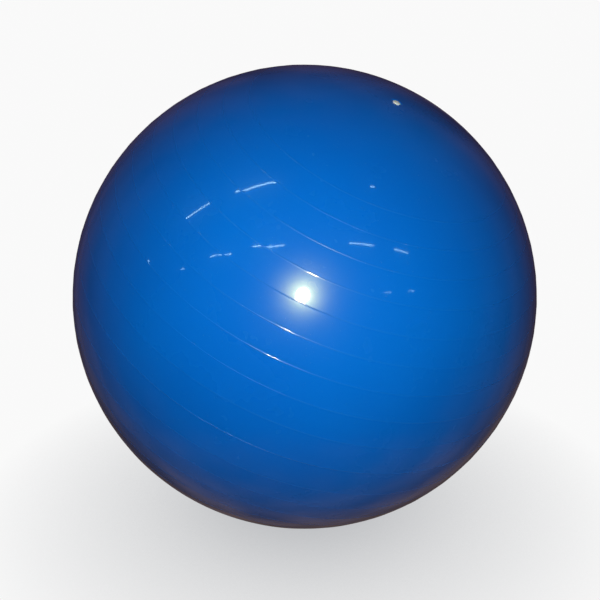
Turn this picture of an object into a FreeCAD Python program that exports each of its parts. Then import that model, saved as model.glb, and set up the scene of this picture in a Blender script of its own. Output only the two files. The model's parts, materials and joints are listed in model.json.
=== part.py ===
import FreeCAD, Part
import math
import os

# An inflatable exercise ball: a hollow moulded skin with raised grip rings, a valve sleeve fused
# inside it, and the stopper that is pushed into the sleeve.  Millimetres and degrees, +Z up, with the
# origin at the centre of the ball.  Every piece is round about the valve's own line, so each one is
# drawn as half a section, (distance from that line, height along it), and turned into a solid.

# the skin, as it is when it is blown up
BALL_RADIUS = 325.0        # centre to the smooth skin between the rings
SKIN_WALL = 0.8            # PVC wall, stretched thin by the air
VALVE_TILT = 26.5          # the valve's line leans this far from +Z towards +X

# the raised rings, which are parallel to the ball's equator and the same on both halves
RING_COUNT = 9             # rings on each half, besides the one round the equator
RING_PITCH = 6.06          # angle from one ring to the next
EQUATOR_STRETCH = 2.5      # how far the thin, stretchy equator pushes the rings away from it
RING_HEIGHT = 0.15         # how far a ring stands up from the skin
RING_ROUND = 1.1           # radius of a ring's crest, and of the hollow at its steep side's foot
RING_FLARE = 4.3           # radius of the hollow at the foot of the side that faces the equator

# the boss that the skin has round the valve, and the dished seat in it for the stopper's head
SEAT_DEPTH = 1.0           # from the top of the ball down to the seat's floor
SEAT_GAP = 1.3             # from the head's rim to the edge of the seat's floor
SEAT_SLOPE = 1.6           # how far out the seat's side runs before it meets the skin
BOSS_WALL = 2.0            # from the seat's floor down to the boss's flat inner face
BOSS_LAND = 3.0            # how far that face reaches past the sleeve's flange
BOSS_TAPER = 5.0           # how far out the boss takes to thin down to the wall

# the valve sleeve
SLEEVE_BORE = 3.6          # radius of the hole that grips the stopper
SLEEVE_LENGTH = 20.0       # mouth to inner end
NECK_WALL = 1.5            # wall of the neck that passes through the boss
TUBE_WALL = 2.3            # wall of the tube below the flange
TUBE_TIP_WALL = 1.3        # the same wall at the tube's inner end
FLANGE_RADIUS = 15.0
FLANGE_THICKNESS = 1.4
MOUTH_CHAMFER = 0.5

# the stopper
HEAD_LAP = 1.4             # how far the head reaches past the edge of the bore
HEAD_EDGE = 1.2            # height of the head's upright rim
HEAD_CROWN = 1.0           # how far the middle of the head rises above that rim
HEAD_CLEARANCE = 0.1       # from the seat's floor to the head's underside
BARB_CLEARANCE = 0.05      # from the widest part of a barb to the wall of the bore
BARB_COUNT = 4
BARB_GAP = 1.2             # plain stem above each barb
BARB_BITE = 0.7            # how far a barb stands out from the stem
STEM_ROUND = 0.9           # radius of the round at the stem's end
STEM_INSET = 1.5           # from the stem's end to the sleeve's inner end

ORIGIN = FreeCAD.Vector(0, 0, 0)
TILT_AXIS = FreeCAD.Vector(0, 1, 0)
UP = FreeCAD.Vector(0, 0, 1)

seat_floor = BALL_RADIUS - SEAT_DEPTH
boss_face = seat_floor - BOSS_WALL
sleeve_end = seat_floor - SLEEVE_LENGTH
neck_radius = SLEEVE_BORE + NECK_WALL
head_radius = SLEEVE_BORE + HEAD_LAP


def point(across, along):
    """A point of a half section."""
    return FreeCAD.Vector(across, 0, along)


def polar(radius, angle):
    """The point this far from the ball's centre, at this angle from the valve's line."""
    turn = math.radians(angle)
    return point(radius * math.sin(turn), radius * math.cos(turn))


def height_on(radius, across):
    """How high a circle about the ball's centre is, this far from the valve's line."""
    return math.sqrt(radius ** 2 - across ** 2)


def line(start, end):
    return Part.LineSegment(start, end).toShape()


def lines(points):
    """Straight edges from each point to the next."""
    return [line(start, end) for start, end in zip(points, points[1:])]


def arc(centre, start, end):
    """The shorter arc about centre from start to end."""
    out = (start - centre).normalize() + (end - centre).normalize()
    middle = centre + out.normalize() * (start - centre).Length
    return Part.Arc(start, middle, end).toShape()


def turned(edges):
    """The half section's edges, turned a full circle into a solid on the tilted valve line."""
    solid = Part.Face(Part.Wire(edges)).revolve(ORIGIN, UP, 360)
    solid.rotate(ORIGIN, TILT_AXIS, VALVE_TILT)
    return solid


def ring_angles():
    """Every ring's angle from the valve's line, from the ring nearest the valve to the last one.

    The skin is thinnest at the equator and stretches most there, so the first gaps each side of
    the equator are wider: the extra dies away over the next ring or two."""
    from_equator = [
        RING_PITCH * count + EQUATOR_STRETCH * (1 - math.exp(-count))
        for count in range(RING_COUNT + 1)
    ]
    upper = [90 - angle for angle in reversed(from_equator)]
    lower = [90 + angle for angle in from_equator[1:]]
    return upper + lower


def ring_side(angle, hollow, way):
    """One side of a ring, from its foot on the skin up to the middle of its crest: a hollow of the
    given radius and the crest.  way is -1 for the side nearer the valve and 1 for the other side.

    The hollow's circle lies on the skin and the crest's circle is let into it.  Each touches the
    other, so the triangle between their centres and the ball's gives the angle the side spreads."""
    crest = BALL_RADIUS + RING_HEIGHT - RING_ROUND
    foot = BALL_RADIUS + hollow
    reach = RING_ROUND + hollow
    spread = math.degrees(math.acos((foot ** 2 + crest ** 2 - reach ** 2) / (2 * foot * crest)))
    start = polar(BALL_RADIUS, angle + way * spread)
    foot_centre = polar(foot, angle + way * spread)
    crest_centre = polar(crest, angle)
    crest_start = crest_centre + (foot_centre - crest_centre) * (RING_ROUND / reach)
    return start, foot_centre, crest_centre, crest_start


def ring(angle):
    """One ring's section: where it starts on the skin, its three arcs, and where it ends.

    The side that faces the equator is flared, so that the mould, which opens at the equator, lets
    go of it.  The other side is steep, and the ring round the equator is steep on both sides."""
    valve_hollow = RING_ROUND if angle <= 90 else RING_FLARE
    far_hollow = RING_FLARE if angle < 90 else RING_ROUND
    start, first_foot, crest_centre, crest_start = ring_side(angle, valve_hollow, -1)
    end, last_foot, crest_centre, crest_end = ring_side(angle, far_hollow, 1)
    edges = [
        arc(first_foot, start, crest_start),
        arc(crest_centre, crest_start, crest_end),
        arc(last_foot, crest_end, end),
    ]
    return start, edges, end


def outer_edges(start, end):
    """The outside of the skin, from the edge of the seat to the pole opposite the valve."""
    edges = []
    for angle in ring_angles():
        ring_start, ring_arcs, ring_end = ring(angle)
        edges.append(arc(ORIGIN, start, ring_start))
        edges += ring_arcs
        start = ring_end
    edges.append(arc(ORIGIN, start, end))
    return edges


def ball_skin():
    """The moulded skin: thin all over, with a flat-backed boss and a dished seat at the valve."""
    inner_radius = BALL_RADIUS - SKIN_WALL
    floor_edge = head_radius + SEAT_GAP
    rim_edge = floor_edge + SEAT_SLOPE
    boss_edge = FLANGE_RADIUS + BOSS_LAND
    boss_foot = boss_edge + BOSS_TAPER
    seat_rim = point(rim_edge, height_on(BALL_RADIUS, rim_edge))
    boss_start = point(boss_foot, height_on(inner_radius, boss_foot))
    inner_side = polar(inner_radius, 90)
    inner_pole = polar(inner_radius, 180)
    outer_pole = polar(BALL_RADIUS, 180)
    seat = lines([
        boss_start,
        point(boss_edge, boss_face),
        point(neck_radius, boss_face),
        point(neck_radius, seat_floor),
        point(floor_edge, seat_floor),
        seat_rim,
    ])
    inside = [
        line(outer_pole, inner_pole),
        arc(ORIGIN, inner_pole, inner_side),
        arc(ORIGIN, inner_side, boss_start),
    ]
    return turned(seat + outer_edges(seat_rim, outer_pole) + inside)


def valve_sleeve():
    """The fused-in socket: a neck through the boss, a flange behind it, and a tapering tube."""
    flange_back = boss_face - FLANGE_THICKNESS
    corners = [
        point(SLEEVE_BORE, sleeve_end),
        point(SLEEVE_BORE + TUBE_TIP_WALL, sleeve_end),
        point(SLEEVE_BORE + TUBE_WALL, flange_back),
        point(FLANGE_RADIUS, flange_back),
        point(FLANGE_RADIUS, boss_face),
        point(neck_radius, boss_face),
        point(neck_radius, seat_floor),
        point(SLEEVE_BORE + MOUTH_CHAMFER, seat_floor),
        point(SLEEVE_BORE, seat_floor - MOUTH_CHAMFER),
    ]
    return turned(lines(corners + corners[:1]))


def valve_plug():
    """The stopper: a stem of cones, each a barb, under a head with a low crown."""
    barb_radius = SLEEVE_BORE - BARB_CLEARANCE
    stem_radius = barb_radius - BARB_BITE
    head_under = seat_floor + HEAD_CLEARANCE
    head_rim = head_under + HEAD_EDGE
    stem_end = sleeve_end + STEM_INSET
    round_start = stem_end + STEM_ROUND
    barb_pitch = (head_under - round_start) / BARB_COUNT
    corners = [
        point(head_radius, head_rim),
        point(head_radius, head_under),
        point(stem_radius, head_under),
    ]
    for count in range(BARB_COUNT):
        shoulder = head_under - count * barb_pitch - BARB_GAP
        corners.append(point(stem_radius, shoulder))
        corners.append(point(barb_radius, shoulder))
        corners.append(point(stem_radius, head_under - (count + 1) * barb_pitch))
    round_centre = point(stem_radius - STEM_ROUND, round_start)
    stem_tip = point(stem_radius - STEM_ROUND, stem_end)
    head_top = point(0, head_rim + HEAD_CROWN)
    crown_radius = (head_radius ** 2 + HEAD_CROWN ** 2) / (2 * HEAD_CROWN)
    crown_centre = point(0, head_top.z - crown_radius)
    outline = lines(corners)
    outline.append(arc(round_centre, corners[-1], stem_tip))
    outline += lines([stem_tip, point(0, stem_end), head_top])
    outline.append(arc(crown_centre, head_top, corners[0]))
    return turned(outline)


def main():
    os.makedirs("parts", exist_ok=True)
    ball_skin().exportStep("parts/ball_skin.step")
    valve_sleeve().exportStep("parts/valve_sleeve.step")
    valve_plug().exportStep("parts/valve_plug.step")


main()
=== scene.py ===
import bpy
import json
import math
import numpy as np
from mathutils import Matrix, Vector


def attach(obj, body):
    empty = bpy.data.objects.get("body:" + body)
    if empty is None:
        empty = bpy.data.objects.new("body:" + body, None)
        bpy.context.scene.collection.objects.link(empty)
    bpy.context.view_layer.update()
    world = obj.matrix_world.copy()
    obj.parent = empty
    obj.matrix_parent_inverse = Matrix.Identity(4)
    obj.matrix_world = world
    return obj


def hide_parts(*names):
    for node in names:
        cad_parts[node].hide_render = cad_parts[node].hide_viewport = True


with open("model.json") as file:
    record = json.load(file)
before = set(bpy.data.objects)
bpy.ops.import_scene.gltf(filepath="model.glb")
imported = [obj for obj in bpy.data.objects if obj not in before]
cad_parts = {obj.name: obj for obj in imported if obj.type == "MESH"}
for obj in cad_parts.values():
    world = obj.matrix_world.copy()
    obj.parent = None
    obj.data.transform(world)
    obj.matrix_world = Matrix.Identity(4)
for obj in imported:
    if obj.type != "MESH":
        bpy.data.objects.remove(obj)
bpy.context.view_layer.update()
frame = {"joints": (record.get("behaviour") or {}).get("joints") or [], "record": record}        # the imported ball: its skin, the sleeve of its valve and its stopper

# ---- The camera ------------------------------------------------------------------------------
# A compact camera held close to the ball and a little above it, so the ball fills most of the
# frame and its outline hides a fair part of each half.  The ball's size and the line of its valve
# come from the frame: the floor mount is one radius under its centre, and the stopper pulls
# straight out along the valve.
BALL_RADIUS = -frame["record"]["mounts"][0]["pos_m"][2]
VALVE_LINE = Vector(frame["joints"][0]["axis"]).normalized()
VIEW_AZIMUTH = math.radians(37.5)
VIEW_ELEVATION = math.radians(20)
VIEW_DISTANCE = 4.3 * BALL_RADIUS
FOCAL_LENGTH = 58.26
FRAME_SHIFT = (-0.0078, -0.0055)

level_to_camera = Vector((math.sin(VIEW_AZIMUTH), -math.cos(VIEW_AZIMUTH), 0))
camera_right = Vector((math.cos(VIEW_AZIMUTH), math.sin(VIEW_AZIMUTH), 0))
to_camera = level_to_camera * math.cos(VIEW_ELEVATION) + Vector((0, 0, math.sin(VIEW_ELEVATION)))
camera_up = to_camera.cross(camera_right)
camera_data = bpy.data.cameras.new("camera")
camera_data.lens = FOCAL_LENGTH
camera_data.shift_x, camera_data.shift_y = FRAME_SHIFT
camera = bpy.data.objects.new("camera", camera_data)
camera.location = to_camera * VIEW_DISTANCE
camera.rotation_euler = to_camera.to_track_quat("Z", "Y").to_euler()
bpy.context.scene.collection.objects.link(camera)
bpy.context.scene.camera = camera
bpy.context.scene.view_settings.view_transform = "Standard"

# ---- The skin --------------------------------------------------------------------------------
# One hollow moulding of soft PVC, turned in a heated mould until the paste coated it evenly, then
# blown up until it is under a millimetre thick.  Low rings run round it for grip.  At the valve it
# is left thick, with a dished seat for the stopper's head and a flat back for the sleeve.
RING_COUNT = 9
RING_PITCH = math.radians(6.06)
EQUATOR_STRETCH = math.radians(2.5)
RING_HEIGHT = 0.00015
RING_ROUND = 0.0011
RING_FLARE = 0.0043
RING_MARGIN = 0.0030
SKIN_WALL = 0.0008
NECK_RADIUS = 0.0051
SEAT_FLOOR = BALL_RADIUS - 0.001
SEAT_EDGE = (0.0058, 0.0088)
SEAT_SPAN = 0.0100
BOSS_FACE = BALL_RADIUS - 0.003
BOSS_EDGE = (0.018, 0.023)
SETTLE_DEPTH = 0.00010
SETTLE_WAVES = 8.0
SKIN_SEGMENTS = 192
RING_STEPS = 4
EVEN_ROWS = 80
SEAT_ROWS = 22
INSIDE_ROWS = 24
PAST_FOOT = (0.00017, 0.0007)
SETTLE_WAYS = np.array([
    (0.9, 0.3, 0.2), (-0.4, 0.8, 0.5), (0.1, -0.6, 0.8), (0.7, -0.7, 0.3), (-0.5, -0.2, 0.9),
])
DEEP_BLUE = (0.0, 0.128, 0.695, 1)
PALE_BLUE = (0.0, 0.147, 0.755, 1)
GRAIN_BLUE = (0.01, 0.22, 0.72, 1)
FLANK_SHADE_BLUE = (0.0, 0.06, 0.30, 1)
SCUFF_BLUE = (0.10, 0.30, 0.72, 1)
DUST_GREY = (0.45, 0.52, 0.62, 1)
GLOSS_TINT = (0.90, 1.0, 0.36, 1)
FILM_ROUGHNESS = 0.045
PVC_IOR = 1.5


class Wire:
    """A node tree, and one of its sockets.  Arithmetic on it adds Math nodes."""

    def __init__(self, tree, socket=None):
        self.tree, self.socket = tree, socket

    def node(self, kind, settings, inputs, output=0):
        """Adds a node of this kind, sets its settings and then its inputs, and gives its output."""
        made = self.tree.nodes.new(kind)
        for name, value in settings.items():
            setattr(made, name, value)
        self.feed(made, inputs)
        return Wire(self.tree, made.outputs[output])

    def feed(self, made, inputs):
        """Links each input of a node that is given a Wire, and sets each one given a value."""
        for name, value in inputs.items():
            if isinstance(value, Wire):
                self.tree.links.new(value.socket, made.inputs[name])
            else:
                made.inputs[name].default_value = value

    def math(self, operation, first, second):
        return self.node("ShaderNodeMath", {"operation": operation}, {0: first, 1: second})

    def __add__(self, other):
        return self.math("ADD", self, other)

    def __sub__(self, other):
        return self.math("SUBTRACT", self, other)

    def __rsub__(self, other):
        return self.math("SUBTRACT", other, self)

    def __mul__(self, other):
        return self.math("MULTIPLY", self, other)

    __radd__ = __add__
    __rmul__ = __mul__

    def between(self, low, high):
        """0 at low, 1 at high, straight between and level past them."""
        return self.node("ShaderNodeMapRange", {}, {"Value": self, "From Min": low, "From Max": high})

    def noise(self, scale, detail=2.0, roughness=0.5):
        """Cloudy noise on the vector that this wire carries."""
        return self.node("ShaderNodeTexNoise", {}, {
            "Vector": self, "Scale": scale, "Detail": detail, "Roughness": roughness,
        })

    def mix(self, first, second):
        """The first colour where this wire is 0, and the second where it is 1."""
        return self.node("ShaderNodeMix", {"data_type": "RGBA"}, {0: self, 6: first, 7: second}, 2)

    def along(self, direction):
        """How far the vector that this wire carries reaches along a direction."""
        return self.node("ShaderNodeVectorMath", {"operation": "DOT_PRODUCT"},
                         {0: self, 1: tuple(direction)}, "Value")

    def bump(self, depth):
        return self.node("ShaderNodeBump", {}, {"Height": self, "Distance": depth})


def new_material(name):
    """A material with a plain Principled shader, and a Wire on its Object coordinates."""
    made = bpy.data.materials.new(name)
    made.use_nodes = True
    place = Wire(made.node_tree).node("ShaderNodeTexCoord", {}, {}, "Object")
    return made, place


def smooth_step(x, start, end):
    """0 before start, 1 after end, and an S-shaped cubic between them."""
    t = np.clip((x - start) / (end - start), 0, 1)
    return t * t * (3 - 2 * t)


def ring_angles():
    """Angle of every ring from the valve: even steps each side of the equator, plus a stretch that
    grows to its full size over the first ring or two and moves the rings away from the equator."""
    count = np.arange(1, RING_COUNT + 1)
    away = RING_PITCH * count + EQUATOR_STRETCH * (1 - np.exp(-count))
    return np.sort(np.concatenate([math.pi / 2 - away, [math.pi / 2], math.pi / 2 + away]))


def side_slope(hollow):
    """Steepest slope of a ring's side that has a hollow of this radius at its foot: the crest's
    circle and the hollow's touch, and their centres are a ring's height short of level."""
    return np.arccos(1 - RING_HEIGHT / (RING_ROUND + hollow))


def ring_rise(angle):
    """Height of the rings on the skin at this angle: a circle for a crest, and a circle turned over
    for the hollow at its foot, which is a wide one on the side that faces the equator."""
    rings = ring_angles()
    away = (angle[:, None] - rings[None, :]) * BALL_RADIUS
    nearest = np.abs(away).argmin(axis=1)
    away = away[np.arange(len(angle)), nearest]
    hollow = np.where(away * (math.pi / 2 - rings[nearest]) > 0, RING_FLARE, RING_ROUND)
    side, turn = np.abs(away), np.sin(side_slope(hollow))
    reach = (RING_ROUND + hollow) * turn
    crest = np.sqrt(np.maximum(RING_ROUND ** 2 - side ** 2, 0)) - RING_ROUND + RING_HEIGHT
    foot = hollow - np.sqrt(np.maximum(hollow ** 2 - (reach - side) ** 2, 0))
    return np.where(side < RING_ROUND * turn, crest, np.where(side < reach, foot, 0))


def side_rows(hollow):
    """How far from a ring's middle its side has rows, as angles: at equal changes of slope over the
    crest and the hollow, and two just past the foot so that the skin between stays round."""
    turn = np.sin(np.linspace(0, 1, RING_STEPS + 1) * side_slope(hollow))
    reach = (RING_ROUND + hollow) * turn[-1]
    foot = reach - hollow * turn[-2::-1]
    return np.concatenate([RING_ROUND * turn, foot, reach + np.array(PAST_FOOT)]) / BALL_RADIUS


def skin_rows():
    """Angles from the valve at which the outside has a row: even steps, with rows close together
    round the seat and over each ring."""
    rings = ring_angles()
    steep, flared = side_rows(RING_ROUND), side_rows(RING_FLARE)
    over = []
    for ring in rings:
        before = steep if ring <= math.pi / 2 else flared
        after = flared if ring < math.pi / 2 else steep
        over += [ring - before[:0:-1], ring + after]
    seat = np.linspace(NECK_RADIUS, SEAT_SPAN, SEAT_ROWS) / BALL_RADIUS
    even = np.linspace(SEAT_SPAN / BALL_RADIUS, math.pi, EVEN_ROWS)[1:-1]
    clear = np.abs(even[:, None] - rings[None, :]).min(axis=1) > RING_MARGIN / BALL_RADIUS
    return np.sort(np.concatenate([seat, even[clear]] + over))


def skin_profile():
    """Section of the skin as (distance from the valve's line, height along it), from the bottom of
    the outside, up over the rings to the seat, through the hole and down the inside.  The third
    array says how far up a ring each point is, from 0 at its foot to 1 at its crest."""
    angle = skin_rows()[::-1]
    rise = ring_rise(angle)
    across, along = (BALL_RADIUS + rise) * np.sin(angle), (BALL_RADIUS + rise) * np.cos(angle)
    seat = np.where(angle < math.pi / 2, smooth_step(across, *SEAT_EDGE), 1)
    along = SEAT_FLOOR * (1 - seat) + along * seat
    inner = BALL_RADIUS - SKIN_WALL
    inside = np.linspace(BOSS_EDGE[1] / inner, math.pi, INSIDE_ROWS)[:-1]
    across = np.concatenate([across, [NECK_RADIUS, BOSS_EDGE[0]], inner * np.sin(inside)])
    along = np.concatenate([along, [BOSS_FACE, BOSS_FACE], inner * np.cos(inside)])
    rise = np.concatenate([rise / RING_HEIGHT, np.zeros(len(inside) + 2)])
    return across, along, rise


def turned_mesh(name, across, along, segments, ends=None):
    """A profile turned about the valve's line.  Row i is the profile's point i swept a full circle:
    across * (cos a, sin a) square to the line, and along on the line.  ends are the heights at
    which the profile meets the line, each closed with a fan; without them the last row joins the
    first."""
    turn = np.linspace(0, 2 * math.pi, segments, endpoint=False)
    line = np.array(VALVE_LINE)
    first = np.cross((0.0, 1.0, 0.0), line)
    second = np.cross(line, first)
    circle = np.cos(turn)[:, None] * first + np.sin(turn)[:, None] * second
    points = across[:, None, None] * circle[None] + along[:, None, None] * line
    vertices = points.reshape(-1, 3)
    rows, here = len(across), np.arange(segments)
    after = np.roll(here, -1)
    row = np.arange(rows if ends is None else rows - 1)[:, None] * segments
    above = (row + segments) % (rows * segments)
    faces = np.stack([row + here, row + after, above + after, above + here], -1)
    faces = faces.reshape(-1, 4).tolist()
    if ends is not None:
        vertices = np.concatenate([vertices, np.outer(ends, line)])
        bottom, top = rows * segments, rows * segments + 1
        last = bottom - segments
        faces += np.stack([np.full(segments, bottom), after, here], -1).tolist()
        faces += np.stack([last + here, last + after, np.full(segments, top)], -1).tolist()
    mesh = bpy.data.meshes.new(name)
    mesh.from_pydata(vertices.tolist(), [], faces)
    mesh.polygons.foreach_set("use_smooth", np.ones(len(mesh.polygons), bool))
    mesh.update()
    piece = bpy.data.objects.new(name, mesh)
    bpy.context.scene.collection.objects.link(piece)
    return piece


def settle(piece):
    """Moves the skin's points in by up to SETTLE_DEPTH, in long slow waves, as air in an uneven
    wall does.  Five waves in different directions add up; they fade out round the valve, so the
    seat stays round the sleeve."""
    points = np.empty(len(piece.data.vertices) * 3)
    piece.data.vertices.foreach_get("co", points)
    points = points.reshape(-1, 3)
    out = points / np.linalg.norm(points, axis=1)[:, None]
    number = np.arange(len(SETTLE_WAYS))
    stretch = SETTLE_WAVES * (1 + 0.3 * number)
    swell = np.sin((out @ SETTLE_WAYS.T) * stretch + 1.7 * number).mean(axis=1)
    from_valve = np.arccos(np.clip(out @ np.array(VALVE_LINE), -1, 1)) * BALL_RADIUS
    depth = SETTLE_DEPTH * (1 - swell) / 2 * smooth_step(from_valve, 0.02, 0.08)
    piece.data.vertices.foreach_set("co", (points - out * depth[:, None]).ravel())
    piece.data.update()


def blue_pvc():
    """Soft PVC, blue through its thickness.  The wall's uneven stretch makes it paler and deeper in
    slow patches, handling has dulled it in smears and scuffed the rings' crests, and their
    flanks are a little matt from the mould and darkened a little with painted shade.  Two mould
    halves leave a fine seam round the equator.  A clear film of plasticiser gives the sharp
    reflections over a softer gloss."""
    pvc, place = new_material("blue_pvc")
    stretch = place.noise(5.0).between(0.3, 0.7)
    colour = stretch.mix(DEEP_BLUE, PALE_BLUE)
    grain = place.noise(420.0).between(0.35, 0.75)
    colour = (grain * 0.08).mix(colour, GRAIN_BLUE)
    rise = place.node("ShaderNodeAttribute", {"attribute_name": "rise"}, {}, "Fac")
    flank = 4 * rise * (1 - rise)
    # Painted shade: the rings' flanks are darkened a little in colour, to offset the light that they
    # catch.
    colour = (flank * 0.05).mix(colour, FLANK_SHADE_BLUE)
    scuffed = rise.between(0.6, 1.0) * place.noise(60.0, 5.0, 0.7).between(0.54, 0.74)
    colour = (scuffed * 0.12).mix(colour, SCUFF_BLUE)
    dust = place.noise(900.0, 1.0).between(0.75, 0.80)
    colour = (dust * 0.25).mix(colour, DUST_GREY)
    smear = place.noise(9.0, 4.0, 0.6).between(0.45, 0.75)
    from_equator = place.along(VALVE_LINE)
    seam = (from_equator * from_equator).between(0.0000002, 0.0)
    height = place.noise(330.0) * 0.00003 + seam * 0.00015
    place.feed(pvc.node_tree.nodes["Principled BSDF"], {
        "Base Color": colour,
        "Roughness": 0.25 + smear * 0.05 + flank * 0.12 + scuffed * 0.06,
        "IOR": PVC_IOR,
        "Specular IOR Level": 0.30,
        "Specular Tint": GLOSS_TINT,
        "Coat Weight": 1 - flank * 0.4 - scuffed * 0.1 - dust * 0.5,
        "Coat Roughness": FILM_ROUGHNESS,
        "Coat IOR": PVC_IOR,
        "Normal": height.bump(1.0),
    })
    return pvc


across, along, rise = skin_profile()
ball_shell = turned_mesh("ball_shell", across, along, SKIN_SEGMENTS,
                         (-BALL_RADIUS, SKIN_WALL - BALL_RADIUS))
ball_shell.data.attributes.new("rise", "FLOAT", "POINT").data.foreach_set(
    "value", np.concatenate([np.repeat(rise, SKIN_SEGMENTS), [0, 0]]))
settle(ball_shell)
ball_shell.data.materials.append(blue_pvc())
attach(ball_shell, "ball")
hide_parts("ball_skin")

# ---- The valve sleeve ------------------------------------------------------------------------
# A socket of harder PVC, moulded on its own and fused behind the boss while the ball is made: a
# neck up through the boss, a wide flange behind it, and a tube whose bore grips the stopper.
BORE = 0.0036
BORE_CHAMFER = 0.0005
FLANGE_RADIUS = 0.015
FLANGE_BACK = BOSS_FACE - 0.0014
TUBE_RADIUS = 0.0059
TUBE_TIP_RADIUS = 0.0049
SLEEVE_END = SEAT_FLOOR - 0.020
SLEEVE_CORNER = 0.00035
FLANGE_ROOT = 0.0008
FLANGE_CORNER = 0.0006
NECK_CORNER = 0.0001
MOUTH_CORNER = 0.00015
SLEEVE_SEGMENTS = 96
SHARP_ANGLE = math.radians(40)
SLEEVE_DEEP_BLUE = (0.0, 0.085, 0.40, 1)
SLEEVE_PALE_BLUE = (0.0, 0.11, 0.47, 1)


def rounded(corners, cuts, steps=6):
    """Every corner turned into a curve that leaves each side the cut's distance from it: the
    quadratic (1-t)^2 start + 2t(1-t) corner + t^2 end.  A cut of 0 keeps the corner sharp."""
    corners = np.array(corners)
    cuts = np.array(cuts)[:, None]
    before = np.roll(corners, 1, axis=0) - corners
    after = np.roll(corners, -1, axis=0) - corners
    start = corners + before / np.linalg.norm(before, axis=1)[:, None] * cuts
    end = corners + after / np.linalg.norm(after, axis=1)[:, None] * cuts
    t = np.linspace(0, 1, steps)[None, :, None]
    curve = (1 - t) ** 2 * start[:, None] + 2 * t * (1 - t) * corners[:, None] + t ** 2 * end[:, None]
    points = curve.reshape(-1, 2)
    apart = np.linalg.norm(points - np.roll(points, 1, axis=0), axis=1) > 1e-9
    return points[apart]


def sleeve_pvc():
    """The sleeve's PVC: the ball's colour, a little deeper, with a satin surface."""
    pvc, place = new_material("sleeve_pvc")
    cloud = place.noise(120.0, 3.0).between(0.3, 0.7)
    place.feed(pvc.node_tree.nodes["Principled BSDF"], {
        "Base Color": cloud.mix(SLEEVE_DEEP_BLUE, SLEEVE_PALE_BLUE),
        "Roughness": 0.38 + cloud * 0.08,
        "IOR": PVC_IOR,
        "Normal": place.noise(1500.0).bump(0.00002),
    })
    return pvc


sleeve_outline = rounded([
    (BORE, SLEEVE_END), (TUBE_TIP_RADIUS, SLEEVE_END), (TUBE_RADIUS, FLANGE_BACK),
    (FLANGE_RADIUS, FLANGE_BACK), (FLANGE_RADIUS, BOSS_FACE), (NECK_RADIUS, BOSS_FACE),
    (NECK_RADIUS, SEAT_FLOOR), (BORE + BORE_CHAMFER, SEAT_FLOOR), (BORE, SEAT_FLOOR - BORE_CHAMFER),
], [SLEEVE_CORNER, SLEEVE_CORNER, FLANGE_ROOT, FLANGE_CORNER, 0, 0, NECK_CORNER, MOUTH_CORNER,
    MOUTH_CORNER])
sleeve = turned_mesh("sleeve", sleeve_outline[:, 0], sleeve_outline[:, 1], SLEEVE_SEGMENTS)
sleeve.data.set_sharp_from_angle(angle=SHARP_ANGLE)
sleeve.data.materials.append(sleeve_pvc())
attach(sleeve, "ball")
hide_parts("valve_sleeve")

# ---- The stopper -----------------------------------------------------------------------------
# One small polyethylene moulding: a low domed head that a fingernail can lift, with the gate's
# mark in its middle, and a stem of cones whose edges catch in the sleeve's bore as barbs.
HEAD_RADIUS = 0.0050
HEAD_UNDER = SEAT_FLOOR + 0.0001
HEAD_RIM = HEAD_UNDER + 0.0012
HEAD_CROWN = 0.0010
HEAD_CORNER = 0.0004
HEAD_UNDER_CORNER = 0.0002
CROWN_LIFT = 1.5          # aims the rim's rounding at the crown's slope, not at its top
CROWN_ROWS = 34
GATE_RADIUS = 0.0007
GATE_DEPTH = 0.00015
GATE_MIDDLE = 0.0001
BARB_RADIUS = 0.00355
STEM_RADIUS = 0.00285
BARB_COUNT = 4
BARB_GAP = 0.0012
BARB_CORNER = 0.0002
STEM_END = SLEEVE_END + 0.0015
STEM_ROUND = 0.0009
STOPPER_SEGMENTS = 128
POLYETHYLENE_WHITE = (0.74, 0.78, 0.86, 1)
GRIME_GREY = (0.58, 0.62, 0.68, 1)


def stem_corners():
    """Corners of the stem from its end up to the head, and how much each is rounded: every barb
    is a cone that widens upwards, a flat shoulder, and a plain piece of stem."""
    pitch = (HEAD_UNDER - STEM_END - STEM_ROUND) / BARB_COUNT
    top = STEM_END + STEM_ROUND + pitch * np.arange(1, BARB_COUNT + 1)
    barb = np.stack([
        np.stack([np.full(BARB_COUNT, BARB_RADIUS), top - BARB_GAP], -1),
        np.stack([np.full(BARB_COUNT, STEM_RADIUS), top - BARB_GAP], -1),
        np.stack([np.full(BARB_COUNT, STEM_RADIUS), top], -1),
    ], 1).reshape(-1, 2)
    return [(STEM_RADIUS, STEM_END)] + barb.tolist(), [STEM_ROUND] + [BARB_CORNER] * len(barb)


def head_profile():
    """The crown from the head's rounded rim in to the gate's mark: a circle through the rim and
    the top, less a dimple with an S-shaped side."""
    crown_round = (HEAD_RADIUS ** 2 + HEAD_CROWN ** 2) / (2 * HEAD_CROWN)
    across = np.linspace(HEAD_RADIUS - HEAD_CORNER, GATE_MIDDLE, CROWN_ROWS)
    along = HEAD_RIM + HEAD_CROWN - crown_round + np.sqrt(crown_round ** 2 - across ** 2)
    return across, along - GATE_DEPTH * (1 - smooth_step(across, 0.6 * GATE_RADIUS, GATE_RADIUS))


def white_polyethylene():
    """Natural white polyethylene: waxy, so light goes a little way in, with grime in the moulding's
    fine texture."""
    plastic, place = new_material("white_polyethylene")
    grime = place.noise(260.0, 4.0, 0.6).between(0.45, 0.8)
    place.feed(plastic.node_tree.nodes["Principled BSDF"], {
        "Base Color": grime.mix(POLYETHYLENE_WHITE, GRIME_GREY),
        "Roughness": 0.48 + grime * 0.15,
        "IOR": 1.5,
        "Subsurface Weight": 0.15,
        "Subsurface Scale": 0.001,
        "Normal": place.noise(1800.0).bump(0.00003),
    })
    return plastic


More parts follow.
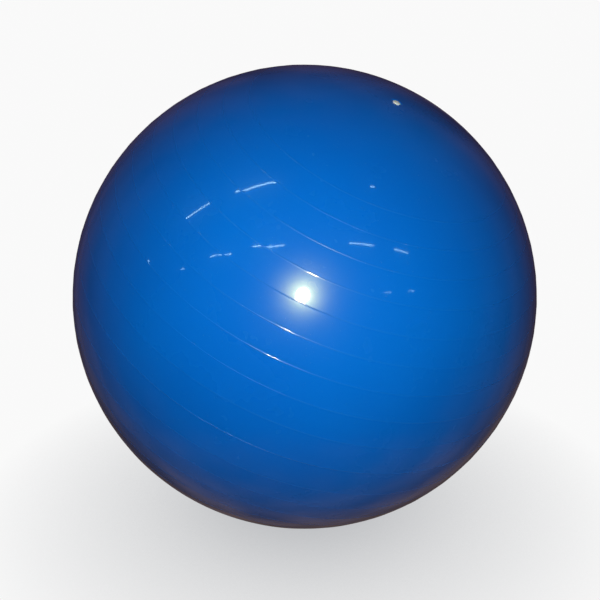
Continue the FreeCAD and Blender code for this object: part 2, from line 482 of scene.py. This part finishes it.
corners, cuts = stem_corners()
corners += [(HEAD_RADIUS, HEAD_UNDER), (HEAD_RADIUS, HEAD_RIM),
            (0, HEAD_RIM + HEAD_CROWN * CROWN_LIFT)]
cuts += [HEAD_UNDER_CORNER, HEAD_CORNER, 0]
side = rounded([(0, STEM_END)] + corners, [0] + cuts)[1:-1]
crown_across, crown_along = head_profile()
stopper = turned_mesh("stopper", np.concatenate([side[:, 0], crown_across[1:]]),
                      np.concatenate([side[:, 1], crown_along[1:]]), STOPPER_SEGMENTS,
                      (STEM_END, crown_along[-1]))
stopper.data.set_sharp_from_angle(angle=SHARP_ANGLE)
stopper.data.materials.append(white_polyethylene())
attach(stopper, "plug")
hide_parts("valve_plug")

# ---- The floor -------------------------------------------------------------------------------
# Plain and white from its own glow, with a painted shadow: darker only where the ball keeps the light
# of the room from it.
FLOOR_SIZE = 30.0
FLOOR_DROP = 0.0001
FLOOR_WHITE = 0.95
SHADE_REACH = 0.28
SHADE_GREY = (0.50, 0.51, 0.53, 1)
BLACK = (0, 0, 0, 1)
WHITE = (1, 1, 1, 1)
half_floor = FLOOR_SIZE / 2
floor_corners = [(-half_floor, -half_floor), (half_floor, -half_floor), (half_floor, half_floor),
                 (-half_floor, half_floor)]
floor_level = -BALL_RADIUS - FLOOR_DROP
floor_mesh = bpy.data.meshes.new("floor")
floor_mesh.from_pydata([(x, y, floor_level) for x, y in floor_corners], [], [(0, 1, 2, 3)])
floor = bpy.data.objects.new("floor", floor_mesh)
bpy.context.scene.collection.objects.link(floor)
floor.visible_glossy = False
floor.visible_diffuse = False
paper, place = new_material("white_floor")
# Painted shadow: the floor's glow turns grey where the ball is close enough to hide the room from it.
open_sky = place.node("ShaderNodeAmbientOcclusion", {"samples": 8}, {"Distance": SHADE_REACH}, "AO")
place.feed(paper.node_tree.nodes["Principled BSDF"], {
    "Base Color": BLACK,
    "Roughness": 1.0,
    "Specular IOR Level": 0.0,
    "Emission Color": open_sky.mix(SHADE_GREY, WHITE),
    "Emission Strength": FLOOR_WHITE,
})
floor_mesh.materials.append(paper)

# ---- The lights ------------------------------------------------------------------------------
# A flash beside the lens lights the ball and leaves a white spot in the middle of it.  Two rows
# of ceiling tubes over the camera show as thin streaks, and a few lamps far off as dots.  A soft
# light behind serves the far side.
FLASH_SIZE = 0.12
FLASH_STRENGTH = 385.0
FLASH_COLOUR = (1.0, 0.99, 0.78)
FLASH_OFFSET = camera_up * 0.023 - camera_right * 0.014
TUBE_HEIGHT = 3.0
TUBE_WIDTH = 0.036
TUBE_COLOUR = (0.50, 0.88, 1.0)
TUBES = [                # towards the camera, to its right, length, and brightness
    (3.35, -3.4, 1.3, 22), (3.25, -1.25, 1.15, 25), (3.05, 1.95, 1.0, 21), (3.0, 3.9, 0.9, 22),
    (1.0, -3.15, 1.2, 17), (1.0, -1.1, 1.15, 17), (0.85, 1.55, 0.12, 13),
]
FAR_LAMP_WIDTH = 0.15
FAR_LAMPS = [            # the same again
    (3.65, -7.1, 0.4, 9), (1.25, -10.1, 0.7, 10), (7.2, 6.0, 0.8, 6.5), (6.9, 8.7, 0.9, 8),
]
BACK_DISTANCE = 1.9
BACK_SIZE = 0.26
BACK_STRENGTH = 120.0


def lamp(name, place, aim, size, strength, shape="RECTANGLE"):
    """A flat light at place, facing aim, unseen by the camera.  strength is how bright its face
    is, so its power is that times its area times pi."""
    data = bpy.data.lights.new(name, "AREA")
    data.shape = shape
    data.size, data.size_y = size
    cover = math.pi / 4 if shape == "DISK" else 1
    data.energy = strength * size[0] * size[1] * cover * math.pi
    made = bpy.data.objects.new(name, data)
    made.location = place
    made.rotation_euler = (place - aim).to_track_quat("Z", "Y").to_euler()
    made.visible_camera = False
    bpy.context.scene.collection.objects.link(made)
    return made


ball_middle = Vector((0, 0, 0))
flash = lamp("flash", to_camera * VIEW_DISTANCE + FLASH_OFFSET, ball_middle,
             (FLASH_SIZE, FLASH_SIZE), FLASH_STRENGTH, "DISK")
flash.data.color = FLASH_COLOUR
for number, (nearness, sideways, length, strength) in enumerate(TUBES + FAR_LAMPS):
    place = level_to_camera * nearness + camera_right * sideways + Vector((0, 0, TUBE_HEIGHT))
    width = TUBE_WIDTH if number < len(TUBES) else FAR_LAMP_WIDTH
    tube = lamp(f"tube_{number}", place, ball_middle, (length, width), strength)
    tube.data.color = TUBE_COLOUR
    tube.rotation_euler = (0, 0, VIEW_AZIMUTH)
lamp("back_light", level_to_camera * -BACK_DISTANCE, ball_middle, (BACK_SIZE, BACK_SIZE),
     BACK_STRENGTH, "DISK")

# ---- The room --------------------------------------------------------------------------------
# White to the eye like the floor, but a dim hall in the ball's reflections: dark beyond the
# camera, with grey walls and a brown floor past the ball that take the edge off its outline.
WALL_COLOUR = (0.038, 0.026, 0.051, 1)
HALL_FLOOR_COLOUR = (0.080, 0.055, 0.050, 1)
FILL_COLOUR = (0.015, 0.017, 0.020, 1)
STREAK_SCALE = (5, 5, 1.2)
room = bpy.data.worlds.new("room")
bpy.context.scene.world = room
room.use_nodes = True
tree = Wire(room.node_tree)
direction = tree.node("ShaderNodeTexCoord", {}, {}, "Generated")
down = direction.along((0, 0, -1))
past_ball = direction.along(-level_to_camera).between(-0.4, 0.8)
near_floor = down.between(0.70, 0.80)
streaks = direction.node("ShaderNodeVectorMath", {"operation": "MULTIPLY"},
                         {0: direction, 1: STREAK_SCALE}).noise(1.0, 3.0).between(0.35, 0.65)
colour = down.between(0.25, 0.55).mix(WALL_COLOUR, HALL_FLOOR_COLOUR)
strength = (0.12 + past_ball + near_floor * 0.5) * (0.55 + streaks * 0.9)
ray = "ShaderNodeLightPath"
background = "ShaderNodeBackground"
mirrored = tree.node(background, {}, {"Color": colour, "Strength": strength})
fill = tree.node(background, {}, {"Color": FILL_COLOUR, "Strength": 1.0})
seen = tree.node(background, {}, {"Color": WHITE, "Strength": FLOOR_WHITE})
lit = tree.node("ShaderNodeMixShader", {},
                {0: tree.node(ray, {}, {}, "Is Glossy Ray"), 1: fill, 2: mirrored})
shown = tree.node("ShaderNodeMixShader", {},
                  {0: tree.node(ray, {}, {}, "Is Camera Ray"), 1: lit, 2: seen})
tree.feed(room.node_tree.nodes["World Output"], {"Surface": shown})
